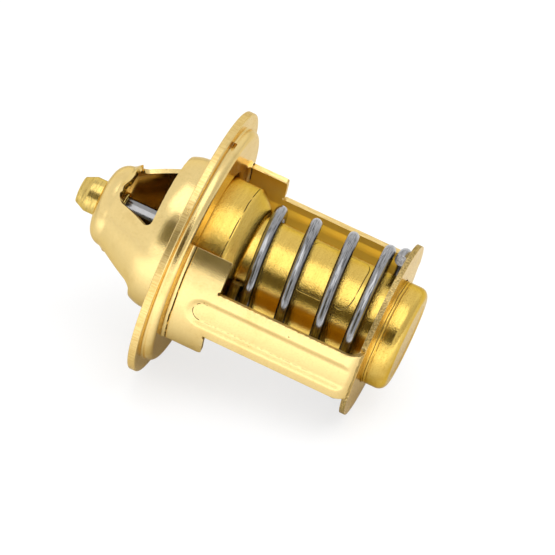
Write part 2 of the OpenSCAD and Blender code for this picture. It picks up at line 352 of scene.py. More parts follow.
def wander(x, y, z, seed):
    """Smooth noise between about -1 and 1, the same each run."""
    return noise.noise(Vector((x + seed * 17.3, y - seed * 5.1, z + seed * 2.7)))


def outward(place):
    """Unit vector from the axis towards place."""
    return Vector((0, place.y, place.z)).normalized()


def near_side(angle):
    """Direction across the axis, turned by angle degrees from the camera side upwards."""
    near, high = Vector((0, -0.805, 0.593)), Vector((0, 0.593, 0.805))
    a = math.radians(angle)
    return near * math.cos(a) + high * math.sin(a)


# Objects

def new_object(name, bm):
    """Linked object that takes over the bmesh."""
    mesh = bpy.data.meshes.new(name)
    bm.to_mesh(mesh)
    bm.free()
    obj = bpy.data.objects.new(name, mesh)
    bpy.context.scene.collection.objects.link(obj)
    return obj


def metre_object(name, bm):
    """Linked object with smooth faces from a bmesh in millimetres."""
    bmesh.ops.scale(bm, vec=(MM, MM, MM), verts=bm.verts)
    for face in bm.faces:
        face.smooth = True
    return new_object(name, bm)


def sharpen(obj, degrees):
    obj.data.set_sharp_from_angle(angle=math.radians(degrees))


def make_piece(name, bm, finish, body, node):
    """Object of one piece, which stands for a CAD node."""
    obj = metre_object(name, bm)
    sharpen(obj, SHARP_ANGLE)
    obj.data.materials.append(finish_of(finish))
    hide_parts(node)
    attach(obj, body)
    return obj


def mark_faces(obj, label, chosen):
    """Marks faces of a piece for its finish, such as those that were cut through the sheet."""
    marks = obj.data.attributes.new(label, "FLOAT", "FACE")
    for face in obj.data.polygons:
        marks.data[face.index].value = float(chosen(face.center / MM, face.normal))


def even_normals(obj):
    mod = obj.modifiers.new("even_normals", "WEIGHTED_NORMAL")
    mod.keep_sharp = True
    mod.weight = 60


def baked(obj, name, kind, **settings):
    """Gives obj a modifier and applies it."""
    mod = obj.modifiers.new(name, kind)
    for key, value in settings.items():
        setattr(mod, key, value)
    graph = bpy.context.evaluated_depsgraph_get()
    mesh = bpy.data.meshes.new_from_object(obj.evaluated_get(graph))
    obj.modifiers.clear()
    obj.data = mesh


def thickened(obj, thickness, **settings):
    """Gives a sheet its wall on the inner side."""
    baked(obj, "wall", "SOLIDIFY", thickness=thickness * MM, offset=-1, use_even_offset=True, **settings)


def joined(obj, bm_other, operation):
    """Boolean of obj with a second solid in millimetres."""
    other = metre_object("tool", bm_other)
    baked(obj, "join", "BOOLEAN", solver="EXACT", operation=operation, object=other)
    bpy.data.objects.remove(other)


# Shader building blocks

class Nodes:
    """Short calls for the nodes of one tree

    A value is a number, a vector, a colour or the output of another node.
    """

    def __init__(self, tree):
        self.tree = tree

    def feed(self, socket, value):
        if isinstance(value, bpy.types.NodeSocket):
            self.tree.links.new(value, socket)
        elif socket.type == "RGBA":
            socket.default_value = (*value[:3], 1)
        else:
            socket.default_value = value

    def node(self, kind, *values, **named):
        """New node with these values in its first inputs and in the inputs with these names."""
        made = self.tree.nodes.new("ShaderNode" + kind)
        for socket, value in zip(made.inputs, values):
            self.feed(socket, value)
        for label, value in named.items():
            self.feed(made.inputs[label], value)
        return made

    def math(self, operation, *values, clamp=False):
        made = self.node("Math", *values)
        made.operation = operation
        made.use_clamp = clamp
        return made.outputs[0]

    def chain(self, operation, first, *others):
        for value in others:
            first = self.math(operation, first, value)
        return first

    def add(self, *values):
        return self.chain("ADD", *values)

    def times(self, *values):
        return self.chain("MULTIPLY", *values)

    def most(self, *values):
        return self.chain("MAXIMUM", *values)

    def size(self, value):
        return self.math("ABSOLUTE", value)

    def minus(self, a, b):
        return self.math("SUBTRACT", a, b)

    def gap(self, value, middle):
        """Distance of value from middle."""
        return self.size(self.minus(value, middle))

    def diagonal(self, a, b):
        return self.math("SQRT", self.add(self.math("POWER", a, 2.0), self.math("POWER", b, 2.0)))

    def ramp(self, value, start, end, low=0.0, high=1.0, kind="SMOOTHSTEP"):
        """low where value is at start, high where it is at end."""
        made = self.node("MapRange", value, start, end, low, high)
        made.interpolation_type = kind
        return made.outputs[0]

    def line(self, value, start, end, low, high):
        """Ramp with a straight slope."""
        return self.ramp(value, start, end, low, high, kind="LINEAR")

    def noise(self, vector, scale=1.0, detail=2.0, rough=0.5):
        made = self.node("TexNoise", Vector=vector, Scale=scale, Detail=detail, Roughness=rough)
        return made.outputs["Fac"]

    def vector(self, operation, a, b):
        made = self.node("VectorMath", a, b)
        made.operation = operation
        return made.outputs["Value" if operation == "DOT_PRODUCT" else "Vector"]

    def stretched(self, vector, scale, detail=2.0, rough=0.5):
        """Noise with a scale of its own on each axis."""
        return self.noise(self.vector("MULTIPLY", vector, scale), 1.0, detail, rough)

    def axes(self, vector):
        return self.node("SeparateXYZ", vector).outputs

    def place(self):
        """Object coordinates."""
        return self.node("TexCoord").outputs["Object"]

    def mark(self, label, output="Fac"):
        """The piece's own attribute."""
        made = self.node("Attribute")
        made.attribute_name = label
        return made.outputs[output]

    def mix(self, factor, a, b):
        """Mixes two colours."""
        made = self.node("Mix")
        made.data_type = "RGBA"
        for index, value in ((0, factor), (6, a), (7, b)):
            self.feed(made.inputs[index], value)
        return made.outputs[2]

    def blend(self, factor, a, b):
        """Mixes two shaders."""
        return self.node("MixShader", factor, a, b).outputs[0]

    def bump(self, shader, height, strength, distance):
        made = self.node("Bump", Strength=strength, Distance=distance, Height=height)
        self.feed(shader["Normal"], made.outputs[0])

    def effect(self, name, vector, **values):
        """Outputs of one of the shared effects."""
        made = self.node("Group")
        made.node_tree = bpy.data.node_groups.get(name) or effect_group(name)
        for label, value in {"Vector": vector, **values}.items():
            self.feed(made.inputs[label], value)
        return made.outputs


# Effects that several materials share. Each is drawn into a node group of its own.

def brushing(n, start):
    """Fine lines that run round the axis, as brushing on a lathe leaves them."""
    fine, wide = (n.noise(n.vector("MULTIPLY", start["Vector"], scale), start["Density"], detail, rough)
                  for scale, detail, rough in (((5200, 300, 300), 3, 0.6), ((1800, 120, 120), 2, 0.5)))
    return [n.add(n.times(fine, 0.65), n.times(wide, 0.35))]


def grain(n, start):
    """Fine sandy grain of dipped sheet."""
    return [n.noise(start["Vector"], start["Scale"], 2, 0.65)]


def tarnish(n, start):
    """Soft darker patches and sparse dark specks."""
    vector = start["Vector"]
    patch = n.times(n.ramp(n.noise(vector, 95, 4, 0.6), 0.5, 0.75), start["Patches"])
    cells = n.node("TexVoronoi", Vector=vector, Scale=330).outputs
    spot = n.ramp(cells["Distance"], 0.05, 0.09, 1.0, 0.0)
    few = n.ramp(n.node("SeparateColor", cells["Color"]).outputs[0], 0.86, 0.9)
    return [patch, n.times(spot, few, start["Specks"])]


def scratches(n, start):
    """A few long thin scratches in two directions."""
    lines = []
    for turn, scale in ((0.5, (40, 1100, 1100)), (-0.9, (1100, 60, 700))):
        turned = n.node("Mapping", Vector=start["Vector"], Rotation=(turn, turn * 0.6, turn)).outputs[0]
        lines.append(n.ramp(n.stretched(turned, scale, 1, 0.4), 0.74, 0.78))
    return [n.times(n.most(*lines), start["Amount"])]


def sheared_edge(n, start):
    """Brush lines across the cut edges, which the piece's own attribute marks."""
    cut = n.mark("sheared")
    across = n.stretched(start["Vector"], (300, 4700, 4700), 2, 0.6)
    return [n.times(n.ramp(across, 0.42, 0.62), cut), cut]


# What draws each effect, its inputs besides the vector, and its outputs
EFFECTS = {
    "Round Brushing": (brushing, {"Density": 1.0}, ["Lines"]),
    "Sheet Grain": (grain, {"Scale": 2600.0}, ["Grain"]),
    "Tarnish": (tarnish, {"Patches": 0.3, "Specks": 0.5}, ["Patch", "Speck"]),
    "Scratches": (scratches, {"Amount": 1.0}, ["Scratch"]),
    "Sheared Edge": (sheared_edge, {}, ["Streaks", "Cut"]),
}


def effect_group(name):
    draw, inputs, outputs = EFFECTS[name]
    tree = bpy.data.node_groups.new(name, "ShaderNodeTree")
    tree.interface.new_socket(name="Vector", in_out="INPUT", socket_type="NodeSocketVector")
    for label, value in inputs.items():
        socket = tree.interface.new_socket(name=label, in_out="INPUT", socket_type="NodeSocketFloat")
        socket.default_value = value
    for label in outputs:
        tree.interface.new_socket(name=label, in_out="OUTPUT", socket_type="NodeSocketFloat")
    start = tree.nodes.new("NodeGroupInput").outputs
    end = tree.nodes.new("NodeGroupOutput").inputs
    n = Nodes(tree)
    for label, value in zip(outputs, draw(n, start)):
        n.feed(end[label], value)
    return tree


# Materials

def plain_material(name, metallic=1.0):
    """New material with the nodes and the inputs of its shader."""
    material = bpy.data.materials.new(name)
    material.use_nodes = True
    shader = material.node_tree.nodes["Principled BSDF"].inputs
    shader["Metallic"].default_value = metallic
    return material, Nodes(material.node_tree), shader


def metal(name, colour, rough, brush, mottle, tone, patches, specks, scratched, wave=0.6,
          grainy=0.3, density=1.0, extra=None):
    """Metal with brushing round the axis, a mottled grain, tarnish and scratches.

    brush, mottle, scratched and wave are the heights of the brush lines, the grain, the scratches
    and the broad swell. tone, grainy, patches and specks say how strongly the lines, the grain,
    the patches and the specks darken the colour, and density sets how close the lines are.
    extra(nodes, vector) may return a mask of dark marks and painted shade that belong to one piece, and
    their depth.
    """
    material, n, shader = plain_material(name)
    vector = n.place()
    # Brass keeps its colour at the rim of a round form
    n.feed(shader["Specular Tint"], tuple(c ** 0.5 for c in colour))
    lines = n.effect("Round Brushing", vector, Density=density)["Lines"]
    sand = n.effect("Sheet Grain", vector, Scale=3400.0)["Grain"]
    spots = n.effect("Tarnish", vector, Patches=patches, Specks=specks)
    cuts = n.effect("Scratches", vector, Amount=scratched)["Scratch"]
    sheared = n.effect("Sheared Edge", vector)
    inside = n.mark("inside")
    dark = tuple(c * share for c, share in zip(colour, DARKER_BRASS))
    layers = [
        (n.line(lines, 0.35, 0.65, 0.0, tone), dark),
        (n.ramp(sand, 0.5, 0.7, 0.0, grainy), dark),
        # Painted bounce light: the cage's faces that look towards the axis turn warm orange
        (n.times(inside, 0.96), PAINTED_BOUNCE_ORANGE),
        # Painted shade: the bonnet's inner faces turn brown
        (n.times(n.mark("deep"), 0.8), PAINTED_SHADE_BROWN),
        (spots["Patch"], dark),
        (n.times(sheared["Streaks"], 0.6), dark),
        (spots["Speck"], tuple(bpy.context.scene.valve_finishes.tarnish)),
    ]
    heights = [n.times(lines, brush), n.times(sand, mottle), n.times(cuts, -1.2),
               n.times(sheared["Streaks"], 0.8), n.times(n.noise(vector, 330), wave * 4)]
    marks = spots["Speck"]
    if extra:
        drawn, depth = extra(n, vector)
        # The extra marks hold painted shade as well as dark marks
        layers.append((drawn, DARK_MARKS_AND_SHADE))
        heights.append(n.times(drawn, -depth))
        marks = n.most(marks, drawn)
    base = tuple(colour)
    for amount, layer in layers:
        base = n.mix(amount, base, layer)
    n.feed(shader["Base Color"], base)
    # Faces that look towards the axis are less metallic, as part of the painted bounce light
    n.feed(shader["Metallic"], n.minus(1.0, n.times(inside, 0.75)))
    level = n.line(n.noise(vector, 160, 3, 0.6), 0.3, 0.7, rough * 0.8, rough * 1.25)
    level = n.add(level, n.times(marks, 0.3))
    n.feed(shader["Roughness"], n.math("ADD", level, n.times(sheared["Cut"], 0.1), clamp=True))
    n.bump(shader, n.add(*heights), 1.0, 0.01 * MM)
    return material


def ring_mark(n, vector, x, width, broken):
    """Thin line round the axis at x; broken sets how much of it is missing."""
    wobble = n.line(n.noise(vector, 260), 0.3, 0.7, -0.09 * MM, 0.09 * MM)
    off = n.gap(n.add(n.axes(vector)[0], wobble), x * MM)
    kept = n.ramp(n.noise(vector, 420, 2, 0.6), broken - 0.06, broken + 0.06)
    return n.times(n.ramp(off, width * 0.4 * MM, width * MM, 1.0, 0.0), kept)


def sheet_marks(n, vector):
    """Seam between flange and cage, painted shade on the bonnet's inner wall towards the flange, dirt on raw
    edges and the ribs' starts.
    """
    x, y, z = n.axes(vector)
    seam = ring_mark(n, vector, SEAM_X, 0.24, 0.41)
    # Painted shade: the bonnet's inner wall darkens towards the flange
    deep = n.times(n.mark("deep"), n.ramp(x, -14 * MM, -7.5 * MM, 0.0, 0.93))
    dirt = n.ramp(n.noise(vector, 3000, 3, 0.6), 0.35, 0.65, 0.1, 0.45)
    # Broken line round the start of each leg's rib, and on along its lower side
    back = n.most(n.minus(RIB_START_X * MM, x), 0.0)
    round_start = n.ramp(n.gap(n.diagonal(back, n.size(z)), 2.4 * MM), 0.04 * MM, 0.15 * MM, 1.0, 0.0)
    dashes = n.ramp(n.noise(vector, 900, 2, 0.6), 0.44, 0.56)
    kept = n.most(n.ramp(x, (RIB_START_X + 1.0) * MM, RIB_START_X * MM, 0.0, 0.9),
                  n.ramp(z, 0.0, -1.0 * MM, 0.0, 0.3))
    on_leg = n.ramp(n.size(y), 22.0 * MM, 22.6 * MM)
    short = n.ramp(x, 38 * MM, 44 * MM, 1.0, 0.0)
    rib_line = n.times(round_start, dashes, kept, on_leg, short)
    return n.most(seam, deep, n.times(n.mark("raw"), dirt), rib_line), 3.0


def lathe_marks(n, vector):
    """Short uneven tool lines that run round the nose bush."""
    return n.ramp(n.stretched(vector, (2400, 420, 420)), 0.48, 0.68, 0.0, 0.3), 2.5


def cup_marks(n, vector):
    """Scribed line at the start of the cup's shoulder."""
    return ring_mark(n, vector, CUP_X - CUP_SHOULDER - 0.6, 0.14, 0.4), 6.0


def capsule_marks(n, vector):
    """Faint scribed oblong on the camera side, and the two lines beside the end disc."""
    up = Vector((0, -0.28, 0.96))
    middle, corner = up.dot(near_side(32) * CAPSULE_R), 2.3
    reach = [n.most(n.minus(n.gap(value, centre * MM), (half - corner) * MM), 0.0)
             for value, centre, half in ((n.axes(vector)[0], 35.0, 7.4),
                                         (n.vector("DOT_PRODUCT", vector, up), middle, 2.5))]
    outline = n.ramp(n.gap(n.diagonal(*reach), corner * MM), 0.04 * MM, 0.16 * MM, 0.8, 0.0)
    outline = n.times(outline, n.ramp(n.noise(vector, 300, 2, 0.6), 0.34, 0.5))
    lines = n.most(ring_mark(n, vector, DISC_X + 0.5, 0.1, 0.3),
                   ring_mark(n, vector, DISC_X + 1.25, 0.08, 0.4))
    return n.most(outline, lines), 4.0


def wire_steel(name, colour):
    """Drawn wire: streaks that follow the wire, and painted shade on its flanks, from the piece's own
    attribute.
    """
    material, n, shader = plain_material(name)
    vector = n.mark("wire_space", "Vector")
    streaks = n.stretched(vector, (5.0, 5.0, 0.25), 4, 0.65)
    cloud = n.stretched(vector, (1.2, 1.2, 0.35))
    fine = n.stretched(vector, (14.0, 14.0, 1.6))
    shade = n.times(n.ramp(streaks, 0.35, 0.65), n.ramp(cloud, 0.35, 0.65, 0.35, 1.0))
    # Painted shade: the wire darkens towards its flanks
    shade = n.most(shade, n.ramp(n.size(n.axes(vector)[1]), 0.75, 1.3, 0.0, 0.9))
    n.feed(shader["Base Color"], n.mix(shade, tuple(colour), tuple(c * 0.22 for c in colour)))
    n.feed(shader["Roughness"], n.line(streaks, 0.3, 0.7, 0.1, 0.24))
    n.bump(shader, n.add(streaks, n.times(fine, 0.5)), 1.0, 0.012 * MM)
    return material


def soft_material(name, colour, rough, mottle, scale):
    """Matt plastic, rubber or wax with a slight mottle."""
    material, n, shader = plain_material(name, metallic=0.0)
    cloud = n.noise(n.place(), scale, 4, 0.6)
    shade = n.ramp(cloud, 0.3, 0.7, 0.0, mottle)
    n.feed(shader["Base Color"], n.mix(shade, colour, tuple(c * 0.5 for c in colour)))
    n.feed(shader["Roughness"], n.line(cloud, 0.3, 0.7, rough, min(1.0, rough + 0.15)))
    n.bump(shader, cloud, 0.5, 0.04 * MM)
    return material


METALS = {
    "stamped_brass": {
        "colour": "stamped", "rough": 0.2, "brush": 0.3, "mottle": 2.4, "tone": 0.1, "patches": 0.4,
        "specks": 0.8, "scratched": 0.35, "extra": sheet_marks},
    "cup_brass": {
        "colour": "drawn", "rough": 0.15, "brush": 1.2, "mottle": 4.5, "tone": 0.42, "patches": 0.9,
        "specks": 1.0, "scratched": 0.7, "wave": 0.8, "grainy": 0.7, "density": 0.5, "extra": cup_marks},
    "capsule_brass": {
        "colour": "drawn", "rough": 0.12, "brush": 1.0, "mottle": 4.0, "tone": 0.34, "patches": 0.7,
        "specks": 1.0, "scratched": 0.8, "wave": 0.45, "grainy": 0.7, "density": 0.5,
        "extra": capsule_marks},
    "turned_brass": {
        "colour": "turned", "rough": 0.17, "brush": 3.5, "mottle": 1.5, "tone": 0.5, "patches": 0.2,
        "specks": 0.6, "scratched": 0.3, "wave": 0.2, "density": 0.4, "extra": lathe_marks},
    "polished_steel": {
        "colour": "rod", "rough": 0.12, "brush": 0.8, "mottle": 0.5, "tone": 0.15, "patches": 0.1,
        "specks": 0.3, "scratched": 0.2, "wave": 0.1},
}
# Colour, roughness, strength of the mottle and its scale
SOFT_MATERIALS = {
    "white_plastic": ((0.86, 0.86, 0.82), 0.45, 0.1, 300),
    "black_rubber": ((0.035, 0.035, 0.035), 0.65, 0.4, 500),
    "filled_wax": ((0.60, 0.33, 0.18), 0.55, 0.5, 800),
}
INNER_FINISHES = {
    "guide_bush": "turned_brass", "backup_ring": "white_plastic", "rubber_boot": "black_rubber",
    "wax_charge": "filled_wax",
}
FINISHES = {}


def make_finish(name):
    colours = bpy.context.scene.valve_finishes
    if name == "spring_steel":
        return wire_steel(name, colours.steel)
    if name in SOFT_MATERIALS:
        return soft_material(name, *SOFT_MATERIALS[name])
    settings = dict(METALS[name])
    return metal(name, getattr(colours, settings.pop("colour")), **settings)


def finish_of(name):
    """The finish with this name, made when it is first asked for."""
    if name not in FINISHES:
        FINISHES[name] = make_finish(name)
    return FINISHES[name]


# Bonnet

class BonnetSheet:
    """The bonnet's outer face as a flat sheet: u runs along its section

    Angles are in degrees from a post's middle: the lower window's middle is at -90, the upper
    one's at 90. side is 1 on the far post and -1 on the near one, face is 1 on the upper window
    and -1 on the lower one.
    """

    def __init__(self, tear):
        self.tear = tear
        path = rounded(BONNET_PATH, math.radians(6))
        # Long stretches get more points, so that no cell is stretched
        self.points = [path[0]]
        for a, b in zip(path, path[1:]):
            count = max(1, math.ceil((b - a).length / BONNET_CELL))
            self.points += [a.lerp(b, (i + 1) / count) for i in range(count)]
        self.lengths = [0.0]
        for a, b in zip(self.points, self.points[1:]):
            self.lengths.append(self.lengths[-1] + (b - a).length)

    def at(self, u):
        """x and radius of the section at u."""
        last = len(self.lengths) - 1
        i = next((i for i in range(1, last) if u <= self.lengths[i]), last)
        t = (u - self.lengths[i - 1]) / (self.lengths[i] - self.lengths[i - 1])
        return self.points[i - 1].lerp(self.points[i], t)

    def u_of(self, x):
        """u where the section passes x."""
        for i, (a, b) in enumerate(zip(self.points, self.points[1:])):
            if b.x >= x - 1e-9 and b.x > a.x:
                t = (x - a.x) / (b.x - a.x)
                if 0 <= t <= 1:
                    return self.lengths[i] + t * (self.lengths[i + 1] - self.lengths[i])
        return self.lengths[-1]

    def angle_of(self, p):
        """Angle of a point that lies p.y beside the post's middle."""
        return math.degrees(math.asin(p.y / self.at(self.u_of(p.x)).y))

    def ragged(self, side, face, angle):
        """Shift along X of the pierced edge."""
        shift = between(TEAR_FAR if side > 0 else TEAR_NEAR, angle)
        shift += 0.08 * wander(angle * 0.13, side, face, 3)
        return self.tear * shift * (1.0 if face > 0 else LOWER_TEAR)

    def window_edge(self, side, face):
        """Half of a window's edge from the crown side round the post to the flange side."""
        beyond = 60.0
        corners = [(WINDOW_NOSE_X, beyond, 0), (WINDOW_NOSE_X, POST_HALF, WINDOW_NOSE_ROUND),
                   (WINDOW_FLANGE_X, POST_HALF + POST_FLARE, WINDOW_FLANGE_ROUND),
                   (WINDOW_FLANGE_X, beyond, 0)]
        points = rounded(corners, math.radians(6))
        nose, flange = points[1], points[-2]
        low = self.angle_of(nose)
        edge = [(self.u_of(nose.x + self.ragged(side, face, angle)), angle)
                for angle in reversed(stepped(low, 90, 1.1))]
        start_shift = self.ragged(side, face, low)
        for p in points[2:-2]:
            fade = max(0.0, 1 - (p.x - nose.x) / 2.0)
            q = Vector((p.x + start_shift * fade, p.y + 0.10 * wander(p.x * 1.3, side, face, 7)))
            edge.append((self.u_of(q.x), self.angle_of(q)))
        for angle in stepped(self.angle_of(flange), 90, 1.3):
            edge.append((self.u_of(flange.x + 0.06 * wander(angle * 0.4, side, face, 9)), angle))
        return edge

    def flared(self, p, side, angle):
        """The sheet stands a little proud where the punch tore it."""
        face, turned = (1 if angle > 0 else -1), abs(angle)
        away = WINDOW_NOSE_X + self.ragged(side, face, turned) - p.x
        if turned < FLARE_START or not -0.3 < away < FLARE_WIDTH:
            return p
        proud = 0.30 + 0.35 * wander(angle * 0.06, side, face, 4)
        proud *= ease(1 - away / FLARE_WIDTH) * ease((turned - FLARE_START) / FLARE_EASE)
        proud *= 1.0 if face > 0 else LOWER_FLARE
        return p + Vector((-0.5, 0.8)) * proud * self.tear

    def half(self, side):
        """The half round one post, cut out flat and then bent round the axis."""
        end = self.lengths[-1]
        low = [(u, -a) for u, a in self.window_edge(side, -1)]
        high = self.window_edge(side, 1)[::-1]
        outline = [(0.0, -90.0), *low, (end, -90.0), (end, 90.0), *high, (0.0, 90.0)]
        half = sliced([(u, a * FLAT_DEGREE) for u, a in outline], self.lengths[1:-1],
                      [a * FLAT_DEGREE for a in stepped(-90, 90, 2.0)[1:-1]])
        bmesh.ops.remove_doubles(half, verts=half.verts, dist=0.02)
        for v in half.verts:
            angle = v.co.y / FLAT_DEGREE
            p = self.flared(self.at(v.co.x), side, angle)
            a = math.radians(angle)
            v.co = (p.x, side * p.y * math.cos(a), p.y * math.sin(a))
        return half


def reach_of_dome(face):
    """Distance from the axis of a face on the bonnet's dome."""
    middle = face.calc_center_median()
    return middle.yz.length if middle.x < -2 else 0


class VALVE_OT_bonnet(bpy.types.Operator):
    """Draws the bonnet with its two pierced windows, one of them with a torn edge"""

    bl_idname = "valve.bonnet"
    bl_label = "Bonnet"
    bl_options = {"REGISTER", "UNDO"}

    def execute(self, context):
        sheet = BonnetSheet(context.scene.valve_sizes.tear)
        dome = bmesh.new()
        for side in (-1, 1):
            half = sheet.half(side)
            mesh = bpy.data.meshes.new("half")
            half.to_mesh(mesh)
            half.free()
            dome.from_mesh(mesh)
            bpy.data.meshes.remove(mesh)
        bmesh.ops.remove_doubles(dome, verts=dome.verts, dist=0.012)
        bmesh.ops.recalc_face_normals(dome, faces=dome.faces)
        outer = max(dome.faces, key=reach_of_dome)
        if outer.normal.dot(outward(outer.calc_center_median())) < 0:
            bmesh.ops.reverse_faces(dome, faces=dome.faces)
        torn = [v for v in dome.verts if v.is_boundary and abs(v.co.z) > POST_HALF + 0.4
                and WINDOW_NOSE_X - 2.4 < v.co.x < WINDOW_NOSE_X + 2.0]
        bmesh.ops.rotate(dome, cent=(0, 0, 0), verts=dome.verts,
                         matrix=Matrix.Rotation(math.radians(BONNET_TURN), 3, "X"))
        dome.verts.index_update()
        torn = [v.index for v in torn]
        obj = make_piece("drawn_bonnet", dome, "stamped_brass", "frame", "bonnet")
        weights = obj.vertex_groups.new(name="wall")
        weights.add(list(range(len(obj.data.vertices))), 1.0, "REPLACE")
        weights.add(torn, TORN_WALL, "REPLACE")
        thickened(obj, BONNET_T, vertex_group="wall", thickness_vertex_group=0.0)
        sharpen(obj, 60)
        # deep marks the bonnet's inner faces, which get painted shade
        mark_faces(obj, "deep", lambda place, normal: normal.dot(outward(place)) < -0.75)
        even_normals(obj)
        return {"FINISHED"}


class VALVE_OT_flange(bpy.types.Operator):
    """Presses the flange ring with its seat, lugs and vent slot"""

    bl_idname = "valve.flange"
    bl_label = "Flange"
    bl_options = {"REGISTER", "UNDO"}

    def execute(self, context):
        recess = COLLAR_R + 0.1
        section = [
            (0, FLANGE_R, 0.25), (RIM_T, FLANGE_R, 0.4), (RIM_T, BOSS_R, 0.5), (BOSS_X, BOSS_R, 1.6),
            (BOSS_X, BORE_R, 0.9), (SEAT_X, BORE_R, 0), (SEAT_X, SEAT_HOLE_R, 0.3),
            (BONNET_T, SEAT_HOLE_R, 0), (BONNET_T, recess, 0), (0, recess, 0),
        ]
        obj = make_piece("pressed_flange", spun(section, 320), "stamped_brass", "frame",
                         "flange_ring")
        inner = LEG_R - CAGE_T
        lug = [
            (BOSS_X - 1, LEG_R + LUG_STEP, 0), (BOSS_X - 0.03, LEG_R + LUG_STEP, 0), (BOSS_X, LEG_R, 0.7),
            (SEAM_X, LEG_R, 0.12), (SEAM_X, inner, 0.12), (BOSS_X, inner, 0.7),
            (BOSS_X - 0.03, inner - LUG_STEP, 0), (BOSS_X - 1, inner - LUG_STEP, 0),
        ]
        half = math.asin(WING_HALF / LEG_R)
        for middle in (0, math.pi):
            joined(obj, spun(lug, 70, half, middle), "UNION")
        slot = bmesh.new()
        bmesh.ops.create_cube(slot, size=1.0)
        bmesh.ops.scale(slot, vec=(VENT_H, VENT_W, 3), verts=slot.verts)
        upright = [e for e in slot.edges if abs((e.verts[0].co - e.verts[1].co).normalized().z) > 0.9]
        bmesh.ops.bevel(slot, geom=upright, offset=VENT_H * 0.49, segments=6, profile=0.5,
                        affect="EDGES", material=-1)
        bmesh.ops.translate(slot, vec=(RIM_T + VENT_H / 2 + 0.1, 0, BOSS_R + 0.6), verts=slot.verts)
        joined(obj, slot, "DIFFERENCE")
        sharpen(obj, SHARP_ANGLE)
        mark_faces(obj, "sheared",
                   lambda place, normal: place.yz.length > FLANGE_R - 0.1 and abs(normal.x) < 0.5)
        even_normals(obj)
        return {"FINISHED"}


# Cage

def arc(radius, start, end, step):
    """Points on a circle round the disc's centre, with angles in degrees."""
    turns = [math.radians(t) for t in stepped(start, end, step)]
    return [(radius * math.cos(t), radius * math.sin(t)) for t in turns]


def blank_side(corner):
    """One side of the strap's outline, with the wing's corner rounded by this much."""
    turns = [math.radians(t) for t in stepped(90, 0, 15)]
    beside_leg = math.degrees(math.asin((LEG_HALF + 0.9) / DISC_R))
    return [
        *arc(DISC_R, 90, beside_leg, 2.0),
        *[(p, LEG_HALF + out) for p, out in DISC_NOTCH],
        *[(p, LEG_HALF) for p in stepped(21.5, WING_P - 0.9, 1.0)],
        *[(WING_P + p, LEG_HALF + out) for p, out in WING_NOTCH],
        *[(WING_P + corner * (1 - math.sin(t)), WING_HALF - corner * (1 - math.cos(t))) for t in turns],
        (ROOT_P, WING_HALF),
    ]


def cage_blank(sizes):
    """Half of the flat strap, from the disc's middle line to the end of one leg."""
    lower_side = [(p, -q) for p, q in reversed(blank_side(LOWER_CORNER))]
    outline = [*blank_side(UPPER_CORNER), *lower_side, *arc(DISC_HOLE_R, -90, 90, 3.0)]
    # The cells are small in the bend and at the rib
    cuts_p = [
        *stepped(1.5, 19.5, 1.5), *stepped(19.9, BEND_END + 0.5, 0.42),
        *stepped(BEND_END + 1.5, RIB_P - 1.5, 1.6), *stepped(RIB_P - 1.2, RIB_P + 4.2, 0.3),
        *stepped(RIB_P + 4.8, ROOT_P - 0.5, 0.8),
    ]
    edge = sizes.rib_floor + sizes.rib_slope
    cuts_q = [*stepped(-1.2, 1.2, 0.8), *stepped(sizes.rib_floor - 0.5, edge + 0.3, 0.2),
              *stepped(edge + 0.8, 13.6, 0.85)]
    blank = sliced(outline, cuts_p, sorted({round(s * q, 4) for q in cuts_q for s in (-1, 1)}))
    bmesh.ops.remove_doubles(blank, verts=blank.verts, dist=0.06)
    return blank


def folded(p, q, sizes):
    """Where a point of the flat strap comes to lie."""
    if p < FLAT_END:
        s = math.hypot(p, q)
    else:
        fade = 1 - ease((p - FLAT_END) / (BEND_END - FLAT_END + 2))
        s = p + (math.hypot(FLAT_END, q) - FLAT_END) * fade
    if s <= FLAT_END:
        radius, x = s, DISC_X
    elif s <= BEND_END:
        t = (s - FLAT_END) / BEND_R
        radius, x = FLAT_END + BEND_R * math.sin(t), DISC_X - BEND_R + BEND_R * math.cos(t)
    else:
        radius, x = LEG_R, DISC_X - BEND_R - (s - BEND_END)
    if p < FLAT_END and abs(q) > LEG_HALF + 0.3:
        radius, x = math.hypot(p, q), DISC_X
    if p > FLAT_END - 3:
        away = math.hypot(q, max(0.0, p - RIB_P))
        press = 1 - ease((away - sizes.rib_floor) / sizes.rib_slope)
        floor = LEG_R - sizes.rib_depth * press
        # A soft minimum lets the rib run out through the bend
        soft = 0.35 * min(1.0, press * 2)
        if soft > 0 and radius > FLAT_END:
            gap = max(0.0, soft - abs(radius - floor))
            radius = min(radius, floor) - gap * gap / (4 * soft)
    return x, math.sqrt(max(radius * radius - q * q, 0)), q


def on_disc(place):
    return place.x > DISC_X - CAGE_T - 0.2


def is_cut(place, normal):
    """Whether a face of the cage was cut through the sheet."""
    if on_disc(place) and place.yz.length < DISC_R + 0.1 and abs(normal.x) < 0.5:
        return place.yz.length > DISC_R - 0.4 or abs(place.y) < 18
    return abs(normal.dot(outward(place))) < 0.5 and place.yz.length > FLAT_END


def is_inside(place, normal):
    """Whether a face of the cage looks towards the axis, apart from the disc's own."""
    return not (on_disc(place) and place.yz.length < 20) and normal.dot(outward(place)) < -0.6


def is_raw(place, normal):
    """How much dirt a cut face holds: on the disc's edge and on the near leg."""
    near_leg = place.y < 0 and place.x < DISC_X - BEND_R
    disc_edge = on_disc(place) and place.yz.length > DISC_R - 0.4
    return is_cut(place, normal) * (1.5 if disc_edge else 1.0 if near_leg else 0.0)


